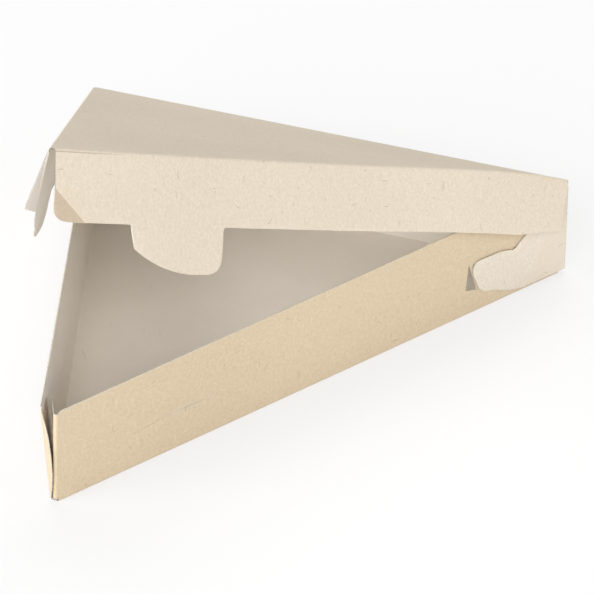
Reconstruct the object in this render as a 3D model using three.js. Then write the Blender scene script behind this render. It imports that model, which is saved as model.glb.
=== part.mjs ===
// Wedge-shaped box for one slice of pizza, folded from one sheet of kraft board: a tray with three
// upright walls and a lid that turns on the fold along the back wall. All sizes are millimetres.
import * as THREE from 'three';

// Board and folds
const board = 0.5;                    // thickness of the board
const clear = 0.35;                   // free space between two sheets that lie on each other
const foldRadius = 0.75;              // middle of the board round a right-angled fold
const foldSteps = 4;                  // flats in one right-angled fold
const trayFacet = 45;                 // longest edge of a facet in the tray
const lidFacet = 20;                  // and in the bulging lid

// Floor of the tray, seen from above: the tip points to +X, the crust side to -X
const frontLength = 234.4;            // from the tip to the near crust corner
const backLength = 191.2;             // from the tip to the far crust corner
const tipAngle = 60.4;                // degrees between the two long sides
const floorRelief = 1.6;              // short cut across each corner of the floor

// Walls of the tray
const wallHeight = 40;                // from the table to the fold line of the lid
const rimDrop = board / 2 + clear;    // the rim lies this far below the middle of the closed lid
const frontLean = 3.3;                // how far the front wall leans out at the crust corner
const crustLean = 1.8;                // how far the crust wall leans out at the near corner
const dustLength = 15;                // small flaps that tuck in behind the crust wall
const dustSlant = 3;                  // their ends narrow by this much
const dustTurn = 2.2;                 // the near one lies towards the crust wall at its top
const curlWidth = 3;                  // curled edge at the near end of the crust wall
const curlAngle = 38;                 // degrees

// Lock at the tip: the back wall goes round the tip and ends in a hooked tongue
const wrapShoulder = [20.8, 24.2];    // upper edge of the wrap, distance from the tip and height
const wrapNotch = [25.9, 20.5];       // corner between the wrap and its tongue
const tongueEnd = 46.6;               // end of the tongue
const tongueTop = 22.9;
const tongueBottom = 7;  
const lockHole = { near: 43.3, far: 48.7, apex: 47.6, low: 9.7, high: 23 };  

// Lid
const lidAngleAtRest = 25.9;          // degrees that the lid stands open
const lidOverTip = 2;                 // lid edge outside the floor edge, at the tip
const lidOverNear = 4.7;              // the same on the front at the near corner
const lidOverCrustNear = 3;           // the same on the crust side at the near corner
const lidOverFar = 1.4;               // the same on the crust side at the far corner
const flangeDepth = 22;               // height of the rim of the lid
const frontSplay = 14;                // degrees that the front rim stands out, at the near corner
const tipSplay = 1.5;                 // the same at the tip
const crustSplay = 4.5;               // the same on the crust side
const lidBow = 2;                     // how far the lid bulges up behind its tip
const bowPeak = 0.16;                 // where it does so, as a share of the front edge from the tip
const lidRelief = 1;                  // short cut across the corners of the lid
const lidTipRelief = 2.4;             // the same at its tip
const flangeTaper = [22, 3.6];        // the front rim is cut back near the tip, length and height
const cornerCrease = [12.5, 11.2];    // corner of the front rim bent along a slanting crease
const cornerRound = 5.5;
const cornerBend = 14;                // degrees
const earWidth = 3.7;                 // small flap on the near end of the crust rim
const earBend = 50;                   // degrees

// Lock tab of the front rim: along from the near corner, and down from the lid
const tabStart = 33;
const tabEnd = 73.5;
const tabShoulder = 29.8;
const tabDepth = 37.8;
const crustTabStart = 11; 
const crustTabEnd = 74;
const crustTabDepth = 34.5;
const slitHeight = 15.2;              // height of the slits in the walls that take the tabs
const slitRise = 1.4;
const slitWidth = 0.2;

const rad = THREE.MathUtils.degToRad;

// Plan of the floor with the tip at the start, then moved so that its centre is at the start
const half = rad(tipAngle) / 2;
const alongFront = new THREE.Vector3(-Math.cos(half), -Math.sin(half), 0);
const alongBack = new THREE.Vector3(-Math.cos(half), Math.sin(half), 0);
const rawNear = alongFront.clone().multiplyScalar(frontLength);
const rawFar = alongBack.clone().multiplyScalar(backLength);
const middle = rawNear.clone().add(rawFar).multiplyScalar(1 / 3);
const tip = middle.clone().negate();
const near = rawNear.clone().sub(middle);
const far = rawFar.clone().sub(middle);
const alongCrust = far.clone().sub(near).normalize();
const crustLength = far.distanceTo(near);
const up = new THREE.Vector3(0, 0, 1);
const outFront = new THREE.Vector3(Math.sin(half), -Math.cos(half), 0);
const outBack = new THREE.Vector3(Math.sin(half), Math.cos(half), 0);
const outCrust = new THREE.Vector3(-alongCrust.y, alongCrust.x, 0);
const nearAngle = Math.acos(alongCrust.dot(alongFront.clone().negate()));
const farAngle = Math.PI - rad(tipAngle) - nearAngle;

// A folded sheet: points in the middle of the board, each with the side that faces inwards
class Sheet {
  constructor(facetLength) {
    this.facetLength = facetLength;
    this.points = [];
    this.faces = [];
  }

  point(at, inner, bend) {
    this.points.push({ at, inner, bend });
    return this.points.length - 1;
  }

  // A panel with its outline in its own plane. The first corners may be shared with a fold.
  panel(frame, outline, holes, bend, shared) {
    const inner = new THREE.Vector3().setFromMatrixColumn(frame, 2);
    const place = ([u, v]) => this.point(new THREE.Vector3(u, v, 0).applyMatrix4(frame), inner, bend);
    const ids = outline.map((corner, i) => (i < shared.length ? shared[i] : place(corner)));
    const holeIds = holes.map((hole) => hole.map(place));
    const loops = [outline, ...holes].map((loop) => loop.map(([u, v]) => new THREE.Vector2(u, v)));
    const all = [ids, ...holeIds].flat();
    THREE.ShapeUtils.triangulateShape(loops[0], loops.slice(1)).forEach(([a, b, c]) => {
      const [p, q, r] = [a, b, c].map((k) => this.points[all[k]].at);
      const turn = q.clone().sub(p).cross(r.clone().sub(p)).dot(inner);
      this.faces.push(turn > 0 ? [all[a], all[b], all[c]] : [all[a], all[c], all[b]]);
    });
    return { ids, inner };
  }

  // A fold along one edge of a panel, towards its inner side when the angle is positive
  fold(parent, edge, degrees, radius, bend) {
    const start = parent.ids[edge];
    const end = parent.ids[(edge + 1) % parent.ids.length];
    const [p, q] = [this.points[start].at, this.points[end].at];
    const along = q.clone().sub(p).normalize();
    const away = along.clone().cross(parent.inner);
    const angle = rad(degrees);
    const towards = Math.sign(angle);
    const steps = Math.max(1, Math.round((foldSteps * Math.abs(degrees)) / 90));
    let row = [start, end];
    for (let i = 1; i <= steps; i += 1) {
      const a = (angle * i) / steps;
      const move = away.clone().multiplyScalar(radius * Math.sin(Math.abs(a)));
      move.addScaledVector(parent.inner, towards * radius * (1 - Math.cos(a)));
      const inner = parent.inner.clone().multiplyScalar(Math.cos(a));
      inner.addScaledVector(away, -Math.sin(a));
      const next = [p, q].map((at) => this.point(at.clone().add(move), inner, bend));
      this.faces.push([row[1], row[0], next[0]], [row[1], next[0], next[1]]);
      row = next;
    }
    const inner = this.points[row[0]].inner;
    const out = away.clone().multiplyScalar(Math.cos(angle));
    out.addScaledVector(parent.inner, Math.sin(angle));
    const frame = new THREE.Matrix4().makeBasis(along.clone().negate(), out, inner);
    frame.setPosition(this.points[row[1]].at);
    return { frame, shared: [row[1], row[0]], length: q.distanceTo(p) };
  }

  attach(parent, edge, degrees, radius, bend, outline, holes = []) {
    const base = this.fold(parent, edge, degrees, radius, bend);
    const whole = [[0, 0], [base.length, 0], ...outline];
    return this.panel(base.frame, whole, holes, bend, base.shared);
  }

  // Long edges are halved until the facets can follow a curve
  refine() {
    for (let again = true; again;) {
      again = false;
      const halves = new Map();
      const mid = (a, b) => {
        const key = a < b ? `${a},${b}` : `${b},${a}`;
        const [p, q] = [this.points[a], this.points[b]];
        if (p.at.distanceTo(q.at) <= this.facetLength) return -1;
        if (!halves.has(key)) {
          const inner = p.inner.clone().add(q.inner).normalize();
          const { bend } = this.points[Math.max(a, b)];
          halves.set(key, this.point(p.at.clone().lerp(q.at, 0.5), inner, bend));
        }
        return halves.get(key);
      };
      const faces = [];
      this.faces.forEach(([a, b, c]) => {
        const cut = [mid(a, b), mid(b, c), mid(c, a)];
        const count = cut.filter((m) => m >= 0).length;
        if (count > 0) again = true;
        const turned = [[a, b, c], [b, c, a], [c, a, b]];
        if (count === 0) {
          faces.push([a, b, c]);
        } else if (count === 3) {
          const [x, y, z] = cut;
          faces.push([a, x, z], [x, b, y], [z, y, c], [x, y, z]);
        } else if (count === 1) {
          const k = cut.findIndex((m) => m >= 0);
          const [p, q, r] = turned[k];
          faces.push([p, cut[k], r], [cut[k], q, r]);
        } else {
          const k = (cut.findIndex((m) => m < 0) + 1) % 3;
          const [p, q, r] = turned[k];
          const [x, y] = [cut[k], cut[(k + 1) % 3]];
          faces.push([p, x, r], [x, y, r], [x, q, y]);
        }
      });
      this.faces = faces;
    }
  }

  // The solid: both faces of the board and its cut edges
  solid(name, material) {
    this.refine();
    const places = [];
    [-1, 1].forEach((side) => this.points.forEach(({ at, inner, bend }) => {
      const p = at.clone().addScaledVector(inner, (side * board) / 2);
      places.push(...bend(p, at).toArray());
    }));
    const count = this.points.length;
    const open = new Map();
    const index = [];
    this.faces.forEach((face) => {
      const [a, b, c] = face;
      index.push(a + count, b + count, c + count, a, c, b);
      [[a, b], [b, c], [c, a]].forEach(([p, q]) => {
        if (!open.delete(`${q},${p}`)) open.set(`${p},${q}`, [p, q]);
      });
    });
    open.forEach(([p, q]) => index.push(p, q, q + count, p, q + count, p + count));
    const geometry = new THREE.BufferGeometry();
    geometry.setAttribute('position', new THREE.Float32BufferAttribute(places, 3));
    geometry.setIndex(index);
    geometry.computeVertexNormals();
    const mesh = new THREE.Mesh(geometry, material);
    mesh.name = name;
    return mesh;
  }
}

// Points of a rounded corner between two straight edges
const rounded = (from, corner, to, steps = 5) => {
  const row = [];
  for (let i = 0; i <= steps; i += 1) {
    const t = i / steps;
    row.push([0, 1].map((k) => from[k] * (1 - t) ** 2 + corner[k] * 2 * t * (1 - t) + to[k] * t * t));
  }
  return row;
};

// How far from the corner of two walls a bend starts, so that its flap lies beside the other wall
const setback = (angle, ownOffset, otherOffset) => {
  const corner = (otherOffset - ownOffset * Math.cos(angle)) / Math.sin(angle);
  return corner + foldRadius * Math.tan((Math.PI - angle) / 2);
};
const turnOf = (angle) => 180 - THREE.MathUtils.radToDeg(angle);

// Where two lines in plan meet
const meet = (p, along, q, other) => {
  const cross = along.x * other.y - along.y * other.x;
  const t = ((q.x - p.x) * other.y - (q.y - p.y) * other.x) / cross;
  return p.clone().addScaledVector(along, t);
};

// A narrow slit that rises in the middle
const slitAlong = (from, to, low) => {
  const steps = [0, 0.2, 0.4, 0.6, 0.8, 1];
  const wave = (t, drop) => [from + (to - from) * t, low + slitRise * Math.sin(Math.PI * t) - drop];
  return [...steps.map((t) => wave(t, slitWidth)), ...steps.reverse().map((t) => wave(t, 0))];
};

// The tray
const tray = new Sheet(trayFacet);
const stay = (p) => p;
const rise = (at) => (at.z - board / 2) / (wallHeight - board / 2);
const leanFront = (p, at) => {
  const share = at.clone().sub(tip).dot(alongFront) / frontLength;
  return p.clone().addScaledVector(outFront, frontLean * share * rise(at));
};
const leanCrust = (p, at) => {
  const share = far.clone().sub(at).dot(alongCrust) / crustLength;
  return p.clone().addScaledVector(outCrust, crustLean * share * rise(at));
};
const leanDust = (p, at) => {
  const depth = Math.max(0, at.clone().sub(near).dot(alongCrust) / dustLength);
  return leanFront(p, at).addScaledVector(outCrust, dustTurn * depth * rise(at));
};

const cut = floorRelief;
const floorFrame = new THREE.Matrix4().makeTranslation(0, 0, board / 2);
const floor = tray.panel(floorFrame, [
  near.clone().addScaledVector(alongFront, -cut),
  tip.clone().addScaledVector(alongFront, cut),
  tip.clone().addScaledVector(alongBack, cut),
  far.clone().addScaledVector(alongBack, -cut),
  far.clone().addScaledVector(alongCrust, -cut),
  near.clone().addScaledVector(alongCrust, cut),
].map(({ x, y }) => [x, y]), [], stay, []);

// Walls start above their fold at the floor, and their ends clear it by a small foot
const lift = board / 2 + foldRadius;
const rim = wallHeight - rimDrop - lift;
const foot = 0.9;
const side = (s) => s - cut;
const level = (h) => h - lift;
const tuck = board + clear - foldRadius;
const wrapOut = foldRadius + board + clear;

// Front wall, along from the tip, with the slit for the lid's tab and the hole of the tip lock
const frontEnd = side(frontLength - setback(nearAngle, foldRadius, tuck));
const tipEnd = side(1.2);
const frontWall = tray.attach(floor, 0, 90, foldRadius, leanFront, [
  [side(frontLength - cut), foot],
  [frontEnd, foot],
  [frontEnd, rim - 1],
  [frontEnd - 1.2, rim],
  [tipEnd, rim],
  [tipEnd, foot],
], [
  slitAlong(side(frontLength - tabEnd), side(frontLength - tabStart), level(slitHeight)),
  [
    [side(lockHole.near), level(lockHole.low)],
    [side(lockHole.far), level(lockHole.low + 1.6)],
    [side(lockHole.apex), level(lockHole.high)],
  ],
]);
const dust = (length) => [
  [length - dustSlant * 0.3, dustLength * 0.9],
  [length - dustSlant * 0.6, dustLength],
  [dustSlant + 1.5, dustLength],
  [dustSlant * 0.7, dustLength * 0.9],
];
tray.attach(frontWall, 3, turnOf(nearAngle), foldRadius, leanDust, dust(rim - 1 - foot));

// Back wall, along from the far corner, with the wrap round the tip and its tongue
const tipTurn = rad(tipAngle);
const backTip = side(backLength - setback(tipTurn, foldRadius, -wrapOut));
const backFar = side(setback(farAngle, foldRadius, tuck));
const wrapTop = rim - 1.6;
const backWall = tray.attach(floor, 2, 90, foldRadius, stay, [
  [side(backLength - cut), foot],
  [backTip, foot],
  [backTip, wrapTop],
  [backTip - 1, rim],
  [backFar + 1.2, rim],
  [backFar, rim - 1],
  [backFar, foot],
  [side(cut), foot],
]);
tray.attach(backWall, 7, turnOf(farAngle), foldRadius, stay, dust(rim - 1 - foot).map(([u, v]) => [
  rim - 1 - foot - u, v,
]).reverse());
const wrapStart = setback(tipTurn, wrapOut, -foldRadius);
const onWrap = ([s, h]) => [wrapTop + lift - h, s - wrapStart];
const lowEdge = lift + foot;
tray.attach(backWall, 3, turnOf(tipTurn), foldRadius, leanFront, [
  [20, lowEdge],
  [28, lowEdge + 1.6],
  ...rounded([tongueEnd - 11, tongueBottom], [tongueEnd - 4.5, 7.6], [tongueEnd - 3.2, 12], 5),
  ...rounded([tongueEnd - 0.9, 17.5], [tongueEnd + 0.2, tongueTop], [tongueEnd - 4, tongueTop], 4),
  [wrapNotch[0] + 6, tongueTop - 0.4],
  ...rounded([wrapNotch[0] + 1.6, wrapNotch[1] + 0.8], wrapNotch, [wrapNotch[0] - 0.9, wrapNotch[1] + 0.6], 3),
  wrapShoulder,
].map(onWrap));

// Crust wall, along from the near corner, with its curled edge
const crustFar = side(crustLength - 0.6);
const crustNear = side(0.6);
const crustWall = tray.attach(floor, 4, 90, foldRadius, leanCrust, [
  [side(crustLength - cut), foot],
  [crustFar, foot],
  [crustFar, rim - 1.5],
  [crustFar - 1.5, rim],
  [crustNear + 0.6, rim],
  [crustNear, rim - 0.6],
  [crustNear, foot],
  [side(cut), foot],
], [slitAlong(side(crustTabStart), side(crustTabEnd), level(slitHeight))]);
const curlLength = rim - 0.6 - foot;
tray.attach(crustWall, 7, curlAngle, foldRadius, leanCrust,
  [0.12, 0.3, 0.5, 0.7, 0.88].reverse().map((t) => [curlLength * t, curlWidth * Math.sin(Math.PI * t)]));

// The lid, drawn closed: its rims stand just outside the walls of the tray
const lid = new Sheet(lidFacet);
const hingeAt = tip.clone().addScaledVector(outBack, foldRadius);
const frontLine = tip.clone().addScaledVector(outFront, lidOverTip);
const frontAlong = near.clone().addScaledVector(outFront, lidOverNear).sub(frontLine).normalize();
const crustLine = far.clone().addScaledVector(outCrust, lidOverFar);
const crustAlong = near.clone().addScaledVector(outCrust, lidOverCrustNear).sub(crustLine).normalize();
const lidTip = meet(frontLine, frontAlong, hingeAt, alongBack);
const lidNear = meet(frontLine, frontAlong, crustLine, crustAlong);
const lidFar = meet(crustLine, crustAlong, hingeAt, alongBack);
const lidFront = lidNear.distanceTo(lidTip);
const lidCrust = lidNear.distanceTo(lidFar);
const outRim = new THREE.Vector3(-frontAlong.y, frontAlong.x, 0);

const bulge = (p, at) => {
  const from = at.clone().sub(lidTip).setZ(0);
  const share = from.length() / lidFront / bowPeak;
  const sweep = Math.atan2(-from.dot(outBack), from.dot(alongBack)) / tipTurn;
  const height = lidBow * share * Math.exp(1 - share) * Math.min(1, Math.max(0, sweep)) ** 2;
  return p.clone().addScaledVector(up, height);
};
const splay = Math.tan(rad(frontSplay)) - Math.tan(rad(tipSplay));
const splayRim = (p, at) => {
  const share = at.clone().sub(lidTip).dot(frontAlong) / lidFront;
  return bulge(p, at).addScaledVector(outRim, splay * share * (wallHeight - at.z));
};

const slack = lidRelief;
const lidFrame = new THREE.Matrix4().makeBasis(
  new THREE.Vector3(1, 0, 0), new THREE.Vector3(0, -1, 0), new THREE.Vector3(0, 0, -1));
lidFrame.setPosition(0, 0, wallHeight);
const top = lid.panel(lidFrame, [
  lidNear.clone().addScaledVector(crustAlong, -slack),
  lidFar.clone().addScaledVector(crustAlong, slack),
  lidFar.clone().addScaledVector(alongBack, -slack),
  lidTip.clone().addScaledVector(alongBack, lidTipRelief),
  lidTip.clone().addScaledVector(frontAlong, lidTipRelief),
  lidNear.clone().addScaledVector(frontAlong, -slack),
].map(({ x, y }) => [x, -y]), [], bulge, []);

// Front rim, along from the near corner, with its lock tab, bent corner and the cut near the tip
const rimEnd = lidFront - slack - lidTipRelief;
const tab = (u) => u - slack;
const root = 1.3;
const frontRim = lid.attach(top, 4, 90 - tipSplay, foldRadius, splayRim, [
  [rimEnd, flangeDepth - flangeTaper[1]],
  [rimEnd - flangeTaper[0], flangeDepth],
  ...rounded([tab(tabEnd) + root, flangeDepth], [tab(tabEnd), flangeDepth], [tab(tabEnd), flangeDepth + root], 3),
  ...rounded([tab(tabEnd), tabShoulder + 1.2], [tab(tabEnd), tabDepth], [tab(tabEnd) - 7, tabDepth], 6),
  ...rounded([tab(tabEnd) - 15, tabDepth], [tab(tabStart) + 12, tabDepth - 1], [tab(tabStart) + 1.4, tabShoulder], 6),
  ...rounded([tab(tabStart), flangeDepth + root], [tab(tabStart), flangeDepth], [tab(tabStart) - root, flangeDepth], 3),
  [cornerCrease[0], flangeDepth],
  [0, cornerCrease[1]],
]);
const creaseEdge = frontRim.ids.length - 2;
const creaseLength = Math.hypot(cornerCrease[0], flangeDepth - cornerCrease[1]);
const creaseTurn = Math.atan2(flangeDepth - cornerCrease[1], cornerCrease[0]);
const onCorner = ([u, v]) => {
  const [x, y] = [u, v - cornerCrease[1]];
  return [x * Math.cos(creaseTurn) + y * Math.sin(creaseTurn), y * Math.cos(creaseTurn) - x * Math.sin(creaseTurn)];
};
lid.attach(frontRim, creaseEdge, cornerBend, foldRadius, splayRim, [
  ...rounded([cornerRound, flangeDepth], [0, flangeDepth], [0, flangeDepth - cornerRound], 6),
].map(onCorner).filter(([u]) => u > 0.5 && u < creaseLength - 0.5));

// Crust rim, along from the far corner, with its lock tab and the small flap at its near end
const crustEnd = lidCrust - 2 * slack;
const ear = flangeDepth - 1.4;
const fromNear = (u, v) => [crustEnd - u + slack, v];
const crustMiddle = (crustTabStart + crustTabEnd) / 2;
const crustShoulder = (flangeDepth + crustTabDepth) / 2;
const crustRim = lid.attach(top, 0, 90 - crustSplay, foldRadius, bulge, [
  [crustEnd, 0.8],
  [crustEnd, ear],
  fromNear(crustTabStart - 0.6, flangeDepth),
  fromNear(crustTabStart, flangeDepth + 2.6),
  ...rounded([crustTabStart + 10, crustShoulder], [crustTabStart + 22, crustTabDepth], [crustMiddle, crustTabDepth])
    .map(([u, v]) => fromNear(u, v)),
  ...rounded([crustTabEnd - 14, crustTabDepth], [crustTabEnd + 2, crustTabDepth], [crustTabEnd, crustShoulder])
    .map(([u, v]) => fromNear(u, v)),
  fromNear(crustTabEnd, flangeDepth + root),
  fromNear(crustTabEnd + root, flangeDepth),
  [cornerRound, flangeDepth],
  ...rounded([cornerRound, flangeDepth], [0, flangeDepth], [0, flangeDepth - cornerRound], 5).slice(1),
]);
const earLength = ear - 0.8;
lid.attach(crustRim, 2, -earBend, foldRadius, bulge, [
  [earLength - 1, 0.3],
  [2, earWidth],
  [0.4, earWidth],
]);

// Both pieces of the box; the lid is turned open about its fold line
const kraft = new THREE.MeshStandardMaterial({ color: 0xcfb691, roughness: 0.9 });
const lidKraft = new THREE.MeshStandardMaterial({ color: 0xdcc6a3, roughness: 0.9 });
const trayMesh = tray.solid('tray', kraft);
const lidMesh = lid.solid('lid', lidKraft);
const pivot = hingeAt.clone().setZ(wallHeight);
lidMesh.geometry.applyMatrix4(new THREE.Matrix4().makeTranslation(pivot.clone().negate()));
lidMesh.geometry.applyMatrix4(new THREE.Matrix4().makeRotationAxis(alongBack, rad(lidAngleAtRest)));
lidMesh.geometry.applyMatrix4(new THREE.Matrix4().makeTranslation(pivot));

const box = new THREE.Group();
box.name = 'pizza_slice_box';
box.add(trayMesh, lidMesh);

export default box;
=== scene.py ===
"""Kraft pizza slice box with its lid standing open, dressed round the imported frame. Metres, +Z up."""
import math

import bmesh
import bpy
from mathutils import Matrix, Vector


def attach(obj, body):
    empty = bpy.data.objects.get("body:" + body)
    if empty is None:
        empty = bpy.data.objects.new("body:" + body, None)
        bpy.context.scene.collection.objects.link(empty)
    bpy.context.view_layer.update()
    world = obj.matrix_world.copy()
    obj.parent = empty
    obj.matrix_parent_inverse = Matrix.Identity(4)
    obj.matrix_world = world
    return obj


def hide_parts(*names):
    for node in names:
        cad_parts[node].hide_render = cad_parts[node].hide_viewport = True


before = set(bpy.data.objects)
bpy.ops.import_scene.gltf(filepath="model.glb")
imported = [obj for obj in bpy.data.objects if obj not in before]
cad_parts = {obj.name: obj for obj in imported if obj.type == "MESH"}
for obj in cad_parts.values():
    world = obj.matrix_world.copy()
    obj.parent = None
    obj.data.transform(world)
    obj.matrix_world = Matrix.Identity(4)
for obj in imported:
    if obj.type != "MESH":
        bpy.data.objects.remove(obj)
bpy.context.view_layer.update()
MM = 0.001

# Camera, as read from the photograph
CAMERA_AT = Vector((-124.0, -992.6, 653.5)) * MM
CAMERA_AZIMUTH = math.radians(-8.293)
CAMERA_ELEVATION = math.radians(32.965)
CAMERA_ROLL = math.radians(-0.234)
CAMERA_LENS = 193.62                    # millimetres, as is the sensor
CAMERA_SENSOR = 36.0
CAMERA_REACH = (0.01, 20)

# Colours of the board
KRAFT_TRAY = (0.695, 0.575, 0.415)
KRAFT_LID = (0.780, 0.690, 0.568)
KRAFT_SPECK = (0.86, 0.80, 0.69)
KRAFT_PULP_LIGHT = 1.05                 # factors on the kraft colour
KRAFT_PULP_DARK = (0.95, 0.935, 0.91)
KRAFT_CLOUD = (0.955, 0.95, 0.94)
KRAFT_FIBRE_LIGHT = 1.16
KRAFT_FIBRE_DARK = 0.66
KRAFT_WORN = (0.95, 0.88, 0.77)
COATING = (0.912, 0.857, 0.778)
COATING_CLOUD = 0.965                   # factors on the coating
COATING_GRAIN = 0.95
COATING_FIBRE = (0.50, 0.42, 0.32)
EDGE_DARK = (0.62, 0.55, 0.44)
EDGE_LIGHT = (0.82, 0.78, 0.70)
WRAP_TINT = (1.14, 1.25, 1.48)          # the wrap of the tip lock is paler than the wall
BENT_CORNER_SHADE = (0.73, 0.68, 0.62)          # the bent corner of the lid is darker: painted shade where it turns from the light
EAR_SHADE = (0.66, 0.64, 0.61)           # and so is the inside of its bent ear: painted shade

# Stray fibres
FIBRES = 12000                          # per square metre
FIBRE_SIZE = {"Length": 4.2 * MM, "Width": 0.17 * MM, "Lift": 0.02 * MM}
FIBRE_SEEDS = {"tray": 5, "lid": 11}
FIBRE_DARK = (0.300, 0.215, 0.135)
FIBRE_PALE = (0.880, 0.810, 0.690)
FIBRE_GRAIN = (0.62, 0.51, 0.36)
FIBRE_POINTS = 6                        # along a strip
FIBRE_BOW = 7.0                         # how far a strip bends, in its own widths
FIBRE_TAPER = 3.2
UNDERSIDE = -0.9                        # facets that face down more than this have no fibres

# Sides of the board, told apart by the turn between their facets
MERGE = 0.01 * MM
SKIN_TURN = math.radians(50)            # two facets of one side turn less than this
FOLD_TURN = math.radians(8)             # and the facets of a fold more than this
OUTSIDE, INSIDE, CUT = 0, 1, 2          # the places of the finishes
NORMAL_WEIGHT = 90

# Places on the box: tip of the floor, outward side of the front wall, and what lies beyond it
TIP = Vector((122.6, 7.24, 0)) * MM
OUT_FRONT = Vector((0.503, -0.864, 0))
FRONT_LEAN = 3.3 / 234.4 / 39.4 / MM    # outward lean of the front wall, per distance and height
WRAP_OUT = 1.25 * MM                    # the wrap of the tip lock lies further out than this
WRAP_REACH = 56 * MM                    # and within this distance of the tip
RIM_FACING = 0.7                        # share of a rim facet's normal that points to the front
BENT_TURN = math.radians(7)
BENT_UP_TO = -55 * MM
EAR_FACING = 0.9
EAR_BEYOND = -77 * MM

# Floor and light
FLOOR_SIZE = 6.0
FLOOR_COLOUR = (0.85, 0.85, 0.85, 1)
FLOOR_WHITE = 0.66                      # share of plain white in the floor that the camera sees
FLOOR_FADE = (0.2, 0.8)                 # metres over which it grows to the whole
WHITE = (1, 1, 1, 1)
WORLD_GLOW = 0.31
LAMPS = {                               # size, power and place
    "front": (1.2, 22, (-0.35, -2.0, 1.3)),
    "front_left": (1.2, 12, (-1.3, -1.7, 0.8)),
    "left": (1.4, 31, (-2.1, -0.6, 1.0)),
    "right": (0.7, 2.7, (0.95, -0.6, 0.45)),
    "back": (1.4, 14, (0.2, 0.9, 1.7)),
}
LAMPS_AIM = (0, 0, 0.04)


# Shader maths

class Sock:
    """A socket in a node tree, with the usual operators."""

    def __init__(self, tree, value):
        self.tree, self.value = tree, value

    def _math(self, operation, *values):
        return self.tree.add("ShaderNodeMath", {"operation": operation}, values)

    def __add__(self, other): return self._math("ADD", self, other)
    def __radd__(self, other): return self._math("ADD", other, self)
    def __rsub__(self, other): return self._math("SUBTRACT", other, self)
    def __mul__(self, other): return self._math("MULTIPLY", self, other)
    def __gt__(self, other): return self._math("GREATER_THAN", self, other)

    def beside(self, out):
        """Another output of the same node."""
        return Sock(self.tree, self.value.node.outputs[out])


class Tree:
    """A node tree whose nodes are added one at a time."""

    def __init__(self, tree):
        self.nodes, self.links = tree.nodes, tree.links
        self.nodes.clear()

    def put(self, socket, value):
        if isinstance(value, Sock):
            self.links.new(value.value, socket)
        else:
            socket.default_value = value

    def add(self, kind, settings=None, values=(), out=0):
        node = self.nodes.new(kind)
        for key, value in (settings or {}).items():
            setattr(node, key, value)
        pairs = values.items() if isinstance(values, dict) else enumerate(values)
        for key, value in pairs:
            self.put(node.inputs[key], value)
        return Sock(self, node.outputs[out])


class Finish(Tree):
    """A material with one principled shader."""

    def __init__(self, name):
        self.material = bpy.data.materials.new(name)
        self.material.use_nodes = True
        super().__init__(self.material.node_tree)
        self.shader = self.nodes.new("ShaderNodeBsdfPrincipled")
        self.out = self.nodes.new("ShaderNodeOutputMaterial")
        self.links.new(self.shader.outputs["BSDF"], self.out.inputs["Surface"])

    def set(self, **values):
        """Values for the shader's inputs, with _ for the spaces in their names."""
        for name, value in values.items():
            self.put(self.shader.inputs[name.replace("_", " ")], value)

    def blend(self, share, first, second, mode="MIX"):
        first, second = [c if isinstance(c, Sock) else (*c, 1.0) for c in (first, second)]
        settings = {"data_type": "RGBA", "blend_type": mode, "clamp_factor": True}
        return self.add("ShaderNodeMix", settings, {0: share, 6: first, 7: second}, out=2)

    def place(self):
        return self.add("ShaderNodeTexCoord", out="Object")

    def mapped(self, where, scale, turn):
        return self.add("ShaderNodeMapping", {}, {"Vector": where, "Scale": scale, "Rotation": turn})

    def noise(self, where, scale, detail, rough, twist=0.0):
        return self.add("ShaderNodeTexNoise", {}, {
            "Vector": where, "Scale": scale, "Detail": detail, "Roughness": rough,
            "Distortion": twist})

    def step(self, value, low, high):
        return self.add("ShaderNodeMapRange", {"interpolation_type": "SMOOTHSTEP"}, {
            "Value": value, "From Min": low, "From Max": high, "To Min": 0.0, "To Max": 1.0})

    def attribute(self, name):
        return self.add("ShaderNodeAttribute", {"attribute_name": name}, out="Fac")

    def bump(self, height, strength, distance):
        return self.add("ShaderNodeBump", {}, {
            "Height": height, "Strength": strength, "Distance": distance})


# The board's finishes

def times(colour, by):
    """A colour times one factor, or times a factor for each channel."""
    factors = by if isinstance(by, tuple) else (by, by, by)
    return tuple(c * f for c, f in zip(colour, factors))


def fibre_mask(finish, where, seed, scale, low, high):
    """Short bent fibres lying every way in the sheet."""
    mask = None
    for turn in range(3):
        angle = seed + turn * 1.05
        size = (scale, scale * 0.09, scale * 0.35)
        along = finish.mapped(where, scale=size, turn=(angle, angle * 0.7, angle))
        grain = finish.noise(along, scale=1.0, detail=2.0, rough=0.5, twist=0.6)
        line = finish.step(grain, low, high)
        mask = line if mask is None else mask + line
    return mask


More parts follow.
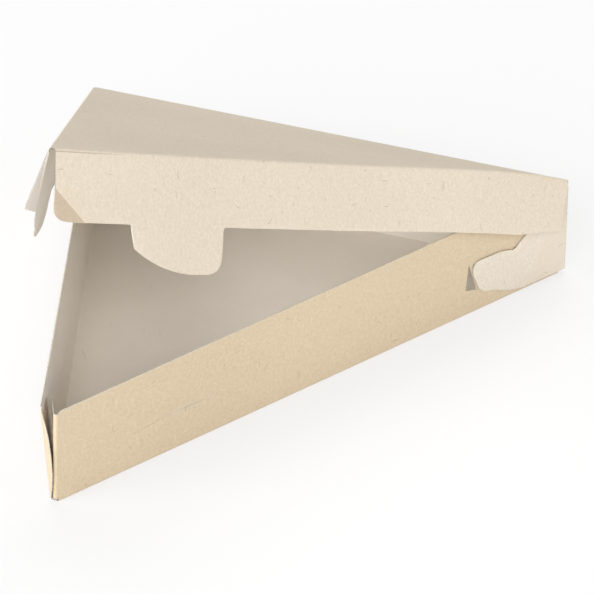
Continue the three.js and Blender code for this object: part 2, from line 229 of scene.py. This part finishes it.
def kraft_finish(name, base):
    """The brown outside of the board: pulp, clouds, fibres and specks, wear along the folds, and
    painted shade on the bent corner of the lid.
    """
    finish = Finish(name)
    where = finish.place()
    pulp = finish.noise(where, scale=950, detail=4.0, rough=0.62)
    cloud = finish.noise(where, scale=70, detail=3.0, rough=0.55)
    wide = finish.noise(where, scale=11, detail=2.0, rough=0.5)
    tone = finish.blend(finish.step(pulp, low=0.33, high=0.68),
                        times(base, KRAFT_PULP_DARK), times(base, KRAFT_PULP_LIGHT))
    tone = finish.blend(finish.step(cloud, low=0.3, high=0.72) * 0.35, tone, base)
    shade = finish.blend(finish.step(wide, low=0.3, high=0.7), KRAFT_CLOUD, WHITE[:3])
    tone = finish.blend(1.0, tone, shade, "MULTIPLY")
    pale = fibre_mask(finish, where, seed=0.4, scale=900, low=0.66, high=0.74)
    brown = fibre_mask(finish, where, seed=1.9, scale=620, low=0.70, high=0.78)
    tone = finish.blend(pale * 0.3, tone, times(base, KRAFT_FIBRE_LIGHT))
    tone = finish.blend(brown * 0.3, tone, times(base, KRAFT_FIBRE_DARK))
    specks = finish.noise(where, scale=1500, detail=1.0, rough=0.5)
    tone = finish.blend(finish.step(specks, low=0.75, high=0.8) * 0.5, tone, KRAFT_SPECK)
    worn = finish.attribute("fold") * finish.step(pulp, low=0.25, high=0.75)
    tone = finish.blend(worn * 0.4, tone, times(base, KRAFT_WORN))
    tone = finish.blend(finish.attribute("wrap"), tone, WRAP_TINT, "MULTIPLY")
    # painted shade on the bent corner of the lid's rim
    tone = finish.blend(finish.attribute("bent"), tone, BENT_CORNER_SHADE, "MULTIPLY")
    height = pulp * 0.6 + cloud * 0.8 + pale * 0.3
    finish.set(Base_Color=tone, Roughness=0.78 + pulp * 0.2, Specular_IOR_Level=0.22,
               Normal=finish.bump(height, strength=0.22, distance=0.12 * MM))
    return finish.material


def coating_finish(name):
    """The smooth pale inside of the board, with painted shade on the inside of the lid's ear."""
    finish = Finish(name)
    where = finish.place()
    cloud = finish.noise(where, scale=55, detail=4.0, rough=0.6)
    grain = finish.noise(where, scale=1300, detail=3.0, rough=0.6)
    tone = finish.blend(finish.step(cloud, low=0.3, high=0.7),
                        times(COATING, COATING_CLOUD), COATING)
    tone = finish.blend(finish.step(grain, low=0.3, high=0.7) * 0.5,
                        tone, times(COATING, COATING_GRAIN))
    through = fibre_mask(finish, where, seed=0.9, scale=520, low=0.71, high=0.79)
    tone = finish.blend(through * 0.16, tone, COATING_FIBRE)
    # painted shade on the inside of the lid's ear
    tone = finish.blend(finish.attribute("ear"), tone, EAR_SHADE, "MULTIPLY")
    height = grain * 0.5 + cloud
    finish.set(Base_Color=tone, Roughness=0.62 + grain * 0.16, Specular_IOR_Level=0.3,
               Normal=finish.bump(height, strength=0.12, distance=0.1 * MM))
    return finish.material


def edge_finish(name):
    """The cut edge, where the pale core shows between the two faces."""
    finish = Finish(name)
    grain = finish.noise(finish.place(), scale=1800, detail=3.0, rough=0.6)
    tone = finish.blend(finish.step(grain, low=0.3, high=0.7), EDGE_DARK, EDGE_LIGHT)
    finish.set(Base_Color=tone, Roughness=0.92)
    return finish.material


def fibre_finish(name):
    """Stray fibres and shives in the surface, from pale to dark brown."""
    finish = Finish(name)
    grain = finish.noise(finish.place(), scale=2500, detail=2.0, rough=0.6)
    shade = finish.step(finish.attribute("shade"), low=0.55, high=0.62)
    tone = finish.blend(shade, FIBRE_DARK, FIBRE_PALE)
    tone = finish.blend(grain * 0.4, tone, FIBRE_GRAIN)
    finish.set(Base_Color=tone, Roughness=0.85)
    return finish.material


# The board's pieces

def applied(piece):
    """Makes the piece a plain mesh, as its modifier leaves it."""
    graph = bpy.context.evaluated_depsgraph_get()
    piece.data = bpy.data.meshes.new_from_object(
        piece.evaluated_get(graph), preserve_all_data_layers=True, depsgraph=graph)
    piece.modifiers.clear()
    return piece


def placed(name, data):
    """A new object in the scene."""
    thing = bpy.data.objects.new(name, data)
    bpy.context.scene.collection.objects.link(thing)
    return thing


def flood(mesh):
    """Groups of facets that meet at less than SKIN_TURN, largest first: the two sides of the
    board, then its cut edges."""
    left, groups = set(mesh.faces), []
    while left:
        seed = left.pop()
        group, queue = [seed], [seed]
        while queue:
            for edge in queue.pop().edges:
                if edge.is_manifold and edge.calc_face_angle(math.pi) < SKIN_TURN:
                    for face in edge.link_faces:
                        if face in left:
                            left.remove(face)
                            group.append(face)
                            queue.append(face)
        groups.append(group)
    return sorted(groups, key=lambda g: -sum(f.calc_area() for f in g))


def on_wrap(face):
    """Whether a facet of the tray belongs to the layer that goes round the tip."""
    corners = [v.co - TIP for v in face.verts]
    outward = [c.dot(OUT_FRONT) - FRONT_LEAN * c.xy.length * c.z for c in corners]
    return min(outward) > WRAP_OUT and max(c.length for c in corners) < WRAP_REACH


def mark_lid(mesh, fold, bent, ear):
    """Marks the bent corner of the lid's front rim, and the inside of the ear beside it, where shade is
    painted.
    """
    rim = [f for f in mesh.faces
           if f.material_index == OUTSIDE and f.normal.dot(OUT_FRONT) > RIM_FACING]
    facing = sum((f.normal * f.calc_area() for f in rim), Vector()).normalized()
    for face in rim:
        turned = face.normal.angle(facing) > BENT_TURN and not face[fold]
        face[bent] = float(turned and face.calc_center_median().x < BENT_UP_TO)
    for face in mesh.faces:
        outmost = face.material_index == INSIDE and face.calc_center_median().x < EAR_BEYOND
        face[ear] = float(outmost and face.normal.dot(OUT_FRONT) > EAR_FACING)


def dressed(node, name, inside_up, finishes):
    """A copy of a folded sheet with its outside, inside and cut edges in their own finishes."""
    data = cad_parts[node].data.copy()
    data.name = name
    data.materials.clear()
    for material in finishes:
        data.materials.append(material)
    mesh = bmesh.new()
    mesh.from_mesh(data)
    bmesh.ops.remove_doubles(mesh, verts=mesh.verts, dist=MERGE)
    bmesh.ops.recalc_face_normals(mesh, faces=mesh.faces)
    fold, wrap, bent, ear = [
        mesh.faces.layers.float.new(n) for n in ("fold", "wrap", "bent", "ear")]
    groups = flood(mesh)
    for face in mesh.faces:
        face.material_index, face.smooth = CUT, True
    for group in groups[:2]:
        level = sum(f.normal.z * f.calc_area() for f in group)
        for face in group:
            face.material_index = INSIDE if (level > 0) == inside_up else OUTSIDE
            turns = [e.calc_face_angle(0) for e in face.edges]
            face[fold] = float(any(FOLD_TURN < t < SKIN_TURN for t in turns))
            face[wrap] = float(node == "tray" and on_wrap(face))
    if node == "lid":
        mark_lid(mesh, fold, bent, ear)
    mesh.to_mesh(data)
    mesh.free()
    data.set_sharp_from_angle(angle=SKIN_TURN)
    piece = placed(name, data)
    even = piece.modifiers.new("even", "WEIGHTED_NORMAL")
    even.keep_sharp, even.weight = True, NORMAL_WEIGHT
    return applied(piece)


def fibre_tree(material):
    """Fibres scattered over a board's outside: short flat strips, bent and tapered, every way."""
    group = bpy.data.node_groups.new("fibres", "GeometryNodeTree")
    inputs = {"Geometry": "Geometry", "Density": "Float", "Seed": "Int",
              "Length": "Float", "Width": "Float", "Lift": "Float"}
    for name, kind in inputs.items():
        group.interface.new_socket(name, in_out="INPUT", socket_type="NodeSocket" + kind)
    group.interface.new_socket("Geometry", in_out="OUTPUT", socket_type="NodeSocketGeometry")
    tree = Tree(group)
    given = tree.nodes.new("NodeGroupInput")

    def ask(name):
        return Sock(tree, given.outputs[name])

    def vary(low, high, seed):
        return tree.add("FunctionNodeRandomValue", {"data_type": "FLOAT"}, {
            2: low, 3: high, "Seed": seed}, out=1)

    # The outside of the board, without its underside
    side = tree.add("GeometryNodeInputMaterialIndex")
    outside = tree.add("FunctionNodeCompare", {"data_type": "INT", "operation": "EQUAL"}, {
        2: side, 3: OUTSIDE})
    facing = tree.add("GeometryNodeInputNormal")
    tilt = tree.add("ShaderNodeSeparateXYZ", {}, [facing], out="Z")
    skin = tree.add("GeometryNodeSeparateGeometry", {"domain": "FACE"}, {
        "Geometry": ask("Geometry"), "Selection": outside * (tilt > UNDERSIDE)})
    points = tree.add("GeometryNodeDistributePointsOnFaces", {}, {
        "Mesh": skin, "Density": ask("Density"), "Seed": ask("Seed")})

    # One strip, a unit long and wide
    strip = tree.add("GeometryNodeMeshGrid", {}, {
        "Size X": 1.0, "Size Y": 1.0, "Vertices X": FIBRE_POINTS, "Vertices Y": 2})
    along = tree.add("ShaderNodeSeparateXYZ", {}, [tree.add("GeometryNodeInputPosition")])
    across = along.beside("Y")
    bow = along * along
    bent = tree.add("ShaderNodeCombineXYZ", {}, [
        along, across * (1.0 - bow * FIBRE_TAPER) + bow * FIBRE_BOW, 0.0])
    strip = tree.add("GeometryNodeSetPosition", {}, {"Geometry": strip, "Position": bent})

    # Strips of many sizes and turns, each with a shade of its own
    size = tree.add("ShaderNodeCombineXYZ", {}, [
        ask("Length") * vary(0.25, 1.0, seed=3) * vary(0.3, 1.0, seed=4),
        ask("Width") * vary(0.5, 1.0, seed=5), 1.0])
    laid = tree.add("GeometryNodeInstanceOnPoints", {}, {
        "Points": points, "Instance": strip, "Rotation": points.beside("Rotation"), "Scale": size})
    spin = tree.add("ShaderNodeCombineXYZ", {}, [0.0, 0.0, vary(0.0, 2 * math.pi, seed=6)])
    laid = tree.add("GeometryNodeRotateInstances", {}, {
        "Instances": laid, "Rotation": spin, "Local Space": True})
    laid = tree.add("GeometryNodeStoreNamedAttribute", {
        "data_type": "FLOAT", "domain": "INSTANCE"}, {
        "Geometry": laid, "Name": "shade", "Value": vary(0.0, 1.0, seed=7)})
    real = tree.add("GeometryNodeRealizeInstances", {}, [laid])

    # Laid onto the skin, so that none stands out at a fold
    here = tree.add("GeometryNodeInputPosition")
    onto = tree.add("GeometryNodeProximity", {"target_element": "FACES"}, {
        0: skin, "Source Position": here})
    away = tree.add("GeometryNodeSampleNearestSurface", {"data_type": "FLOAT_VECTOR"}, {
        "Mesh": skin, "Value": facing, "Sample Position": here})
    rise = tree.add("ShaderNodeCombineXYZ", {}, [ask("Lift"), ask("Lift"), ask("Lift")])
    close = tree.add("ShaderNodeVectorMath", {"operation": "MULTIPLY_ADD"}, [away, rise, onto])
    real = tree.add("GeometryNodeSetPosition", {}, {"Geometry": real, "Position": close})
    done = tree.add("GeometryNodeSetMaterial", {}, {"Geometry": real, "Material": material})
    tree.put(tree.nodes.new("NodeGroupOutput").inputs[0], done)
    return group


def fibres(board, name, group, sizes):
    """The fibres of one board as a plain mesh."""
    piece = placed(name, board.data.copy())
    grown = piece.modifiers.new("grown", "NODES")
    grown.node_group = group
    for item in group.interface.items_tree:
        if item.in_out == "INPUT" and item.name in sizes:
            grown[item.identifier] = sizes[item.name]
    return applied(piece)


tray_outside = kraft_finish("tray_kraft", KRAFT_TRAY)
lid_outside = kraft_finish("lid_kraft", KRAFT_LID)
inside = coating_finish("pale_inside")
cut_edge = edge_finish("cut_edge")

tray = dressed("tray", "tray_board", True, [tray_outside, inside, cut_edge])
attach(tray, "tray")
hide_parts("tray")
lid = dressed("lid", "lid_board", False, [lid_outside, inside, cut_edge])
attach(lid, "lid")
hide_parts("lid")

scatter = fibre_tree(fibre_finish("stray_fibres"))
for body, board in (("tray", tray), ("lid", lid)):
    strands = fibres(board, body + "_fibres", scatter, {
        "Density": FIBRES, "Seed": FIBRE_SEEDS[body], **FIBRE_SIZE})
    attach(strands, body)
    body + "_board"


# Camera, floor and light

def add_camera():
    """The camera of the photograph."""
    a, e = CAMERA_AZIMUTH, CAMERA_ELEVATION
    back = Vector((math.sin(a) * math.cos(e), -math.cos(a) * math.cos(e), math.sin(e)))
    right = (-back).cross(Vector((0, 0, 1))).normalized()
    up = right.cross(-back)
    turned = Matrix((right, up, back)).transposed() @ Matrix.Rotation(CAMERA_ROLL, 3, "Z")
    data = bpy.data.cameras.new("camera")
    data.lens, data.sensor_width = CAMERA_LENS, CAMERA_SENSOR
    data.clip_start, data.clip_end = CAMERA_REACH
    camera = placed("camera", data)
    camera.matrix_world = Matrix.Translation(CAMERA_AT) @ turned.to_4x4()
    bpy.context.scene.camera = camera


def add_floor():
    """A pale floor that takes shadows and fades to plain white away from the box."""
    far = FLOOR_SIZE
    data = bpy.data.meshes.new("floor")
    corners = [(-far, -far, 0), (far, -far, 0), (far, far, 0), (-far, far, 0)]
    data.from_pydata(corners, [], [(0, 1, 2, 3)])
    floor = placed("floor", data)
    finish = Finish("pale_floor")
    finish.set(Base_Color=FLOOR_COLOUR, Roughness=1.0, Specular_IOR_Level=0.0)
    seen = finish.add("ShaderNodeLightPath", out="Is Camera Ray")
    away = finish.add("ShaderNodeVectorMath", {"operation": "LENGTH"}, [finish.place()], out="Value")
    plain = FLOOR_WHITE + finish.step(away, *FLOOR_FADE) * (1.0 - FLOOR_WHITE)
    white = finish.add("ShaderNodeEmission", {}, {"Color": WHITE, "Strength": 1.0})
    lit = Sock(finish, finish.shader.outputs["BSDF"])
    shown = finish.add("ShaderNodeMixShader", {}, {0: seen * plain, 1: lit, 2: white})
    finish.put(finish.out.inputs["Surface"], shown)
    data.materials.append(finish.material)


def add_light():
    """A faint even glow, seen as plain white, and five large soft lamps."""
    world = bpy.data.worlds.new("studio")
    world.use_nodes = True
    bpy.context.scene.world = world
    tree = Tree(world.node_tree)
    glow = tree.add("ShaderNodeBackground", {}, {"Color": WHITE, "Strength": WORLD_GLOW})
    plain = tree.add("ShaderNodeBackground", {}, {"Color": WHITE, "Strength": 1.0})
    seen = tree.add("ShaderNodeLightPath", out="Is Camera Ray")
    shown = tree.add("ShaderNodeMixShader", {}, {0: seen, 1: glow, 2: plain})
    tree.put(tree.nodes.new("ShaderNodeOutputWorld").inputs["Surface"], shown)
    for name, (size, power, at) in LAMPS.items():
        data = bpy.data.lights.new(name, "AREA")
        data.shape, data.size, data.energy = "DISK", size, power
        lamp = placed(name, data)
        lamp.location = at
        aim = Vector(LAMPS_AIM) - Vector(at)
        lamp.rotation_euler = aim.to_track_quat("-Z", "Y").to_euler()


add_camera()
add_floor()
add_light()
bpy.context.scene.view_settings.view_transform = "Standard"
